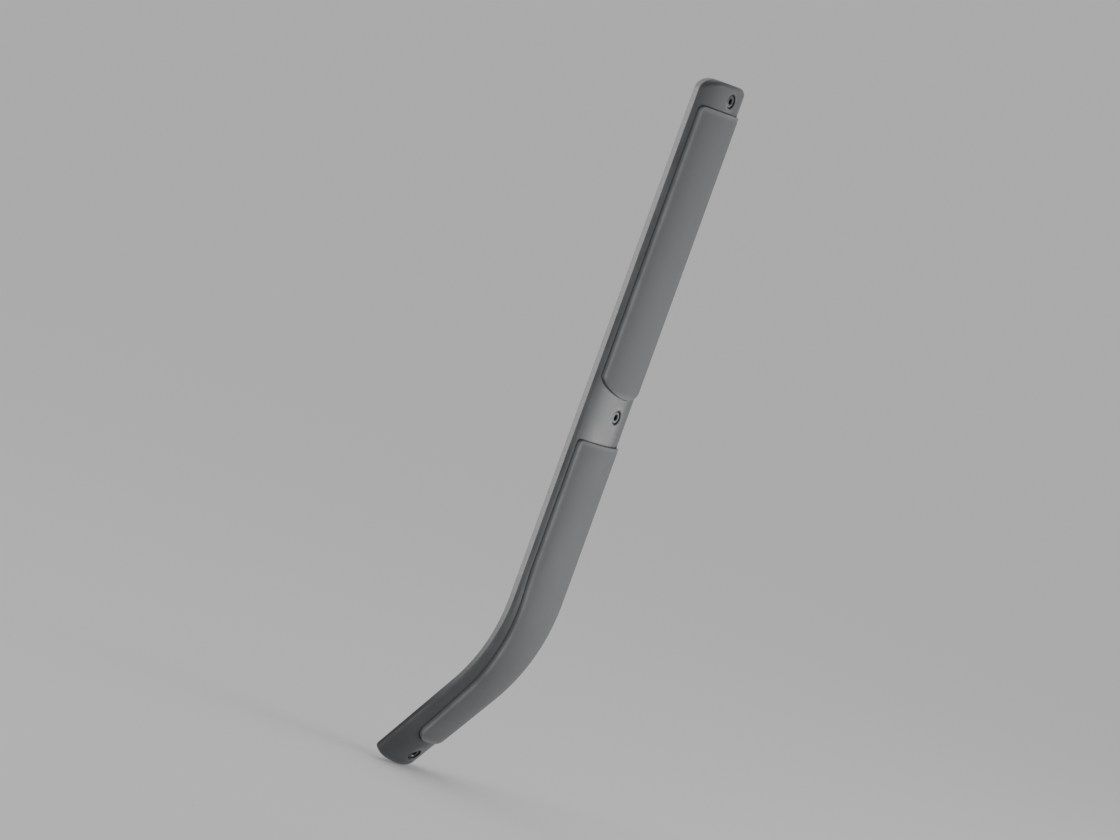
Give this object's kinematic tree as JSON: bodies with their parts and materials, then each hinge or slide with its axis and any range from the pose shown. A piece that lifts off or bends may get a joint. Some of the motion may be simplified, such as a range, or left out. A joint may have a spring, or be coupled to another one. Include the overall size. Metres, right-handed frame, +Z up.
{
  "type": "prosthetic leg side strut",
  "caption": "Slender bent side strut of a prosthetic leg: load-bearing plate under a crowned shell with raised soft pads and screws that stand out of its back.",
  "frame": {"origin": "where the top screw's axis meets the flat back face", "axes": "+Z up along the straight upper part, +Y out of the flat back towards the leg, the crowned padded face is at -Y, X across the strut"},
  "size_m": [0.047, 0.0659, 0.4144],
  "materials": {
    "shell": "satin dark grey, fine orange peel",
    "plate": "bead blasted, bare cut edge",
    "pad": "matt soft-touch elastomer",
    "ferrule": "turned, dulled",
    "screw": "black oxide, worn at the rim",
    "lock_washer": "spring steel, phosphated",
    "nylon": "natural nylon",
    "brass": "knurled",
    "cover_screw": "zinc plated"
  },
  "bodies": {
    "root": {"outer_shell": "shell", "spine_plate": "plate", "upper_pad": "pad", "lower_pad": "pad", "cover_inserts": "brass", "cover_screws": "cover_screw", "top_ferrule": "ferrule", "top_screw": "screw", "top_lock_washer": "lock_washer", "top_retaining_washer": "nylon", "middle_ferrule": "ferrule", "middle_screw": "screw", "middle_lock_washer": "lock_washer", "middle_retaining_washer": "nylon", "bottom_ferrule": "ferrule", "bottom_screw": "screw", "bottom_lock_washer": "lock_washer", "bottom_retaining_washer": "nylon"}
  },
  "joints": []
}
